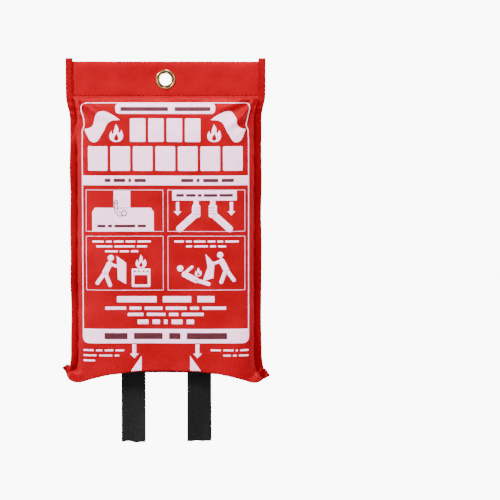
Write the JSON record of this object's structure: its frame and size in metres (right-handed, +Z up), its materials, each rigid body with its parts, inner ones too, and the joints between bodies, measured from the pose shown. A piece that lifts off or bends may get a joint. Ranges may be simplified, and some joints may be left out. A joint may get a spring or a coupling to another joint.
{
  "type": "fire blanket",
  "caption": "Red cloth wall pouch with a brass eyelet, holding a folded square glass-fibre fire blanket that slides out of the open bottom when its two webbing pull tapes are pulled.",
  "frame": {"origin": "centre of the eyelet, midway through the header's two plies", "axes": "+Z up, the printed front of the pouch faces -Y, +X to the right as seen from the front"},
  "size_m": [0.205, 0.0312, 0.397],
  "materials": {
    "pouch_cloth": "satin PVC-coated cloth",
    "binding_cloth": "satin coated binding strip",
    "brass": "polished",
    "pouch_thread": "matte sewing thread",
    "glass_cloth": "satin-weave glass-fibre cloth",
    "hem_thread": "matte sewing thread",
    "webbing": "ribbed webbing",
    "tape_thread": "matte sewing thread"
  },
  "bodies": {
    "header": {"header_front_ply": "pouch_cloth", "header_back_ply": "pouch_cloth", "left_header_binding": "binding_cloth", "right_header_binding": "binding_cloth", "eyelet": "brass", "eyelet_washer": "brass", "header_stitching": "pouch_thread", "header_binding_stitching": "pouch_thread"},
    "pouch": {"front_panel": "pouch_cloth", "back_panel": "pouch_cloth", "left_side_binding": "binding_cloth", "right_side_binding": "binding_cloth", "left_side_stitching": "pouch_thread", "right_side_stitching": "pouch_thread"},
    "folded_blanket": {"blanket": "glass_cloth", "blanket_hem": "glass_cloth", "hem_stitching": "hem_thread", "left_tape_loop": "webbing", "right_tape_loop": "webbing", "left_tape_stitching": "tape_thread", "right_tape_stitching": "tape_thread"},
    "left_tape": {"left_tape_tail": "webbing"},
    "right_tape": {"right_tape_tail": "webbing"}
  },
  "joints": [
    {"name": "header_fold", "type": "hinge", "parent": "header", "child": "pouch", "pos_m": [0, 0, -0.0175], "axis": [1, 0, 0], "range_deg": [-45, 45]},
    {"name": "blanket_slide", "type": "slide", "parent": "pouch", "child": "folded_blanket", "axis": [0, 0, -1], "range_m": [0, 0.3]},
    {"name": "left_tape_swing", "type": "hinge", "parent": "folded_blanket", "child": "left_tape", "pos_m": [-0.034, 0, -0.309], "axis": [1, 0, 0], "range_deg": [-70, 70]},
    {"name": "right_tape_swing", "type": "hinge", "parent": "folded_blanket", "child": "right_tape", "pos_m": [0.034, 0, -0.309], "axis": [1, 0, 0], "range_deg": [-70, 70]}
  ]
}
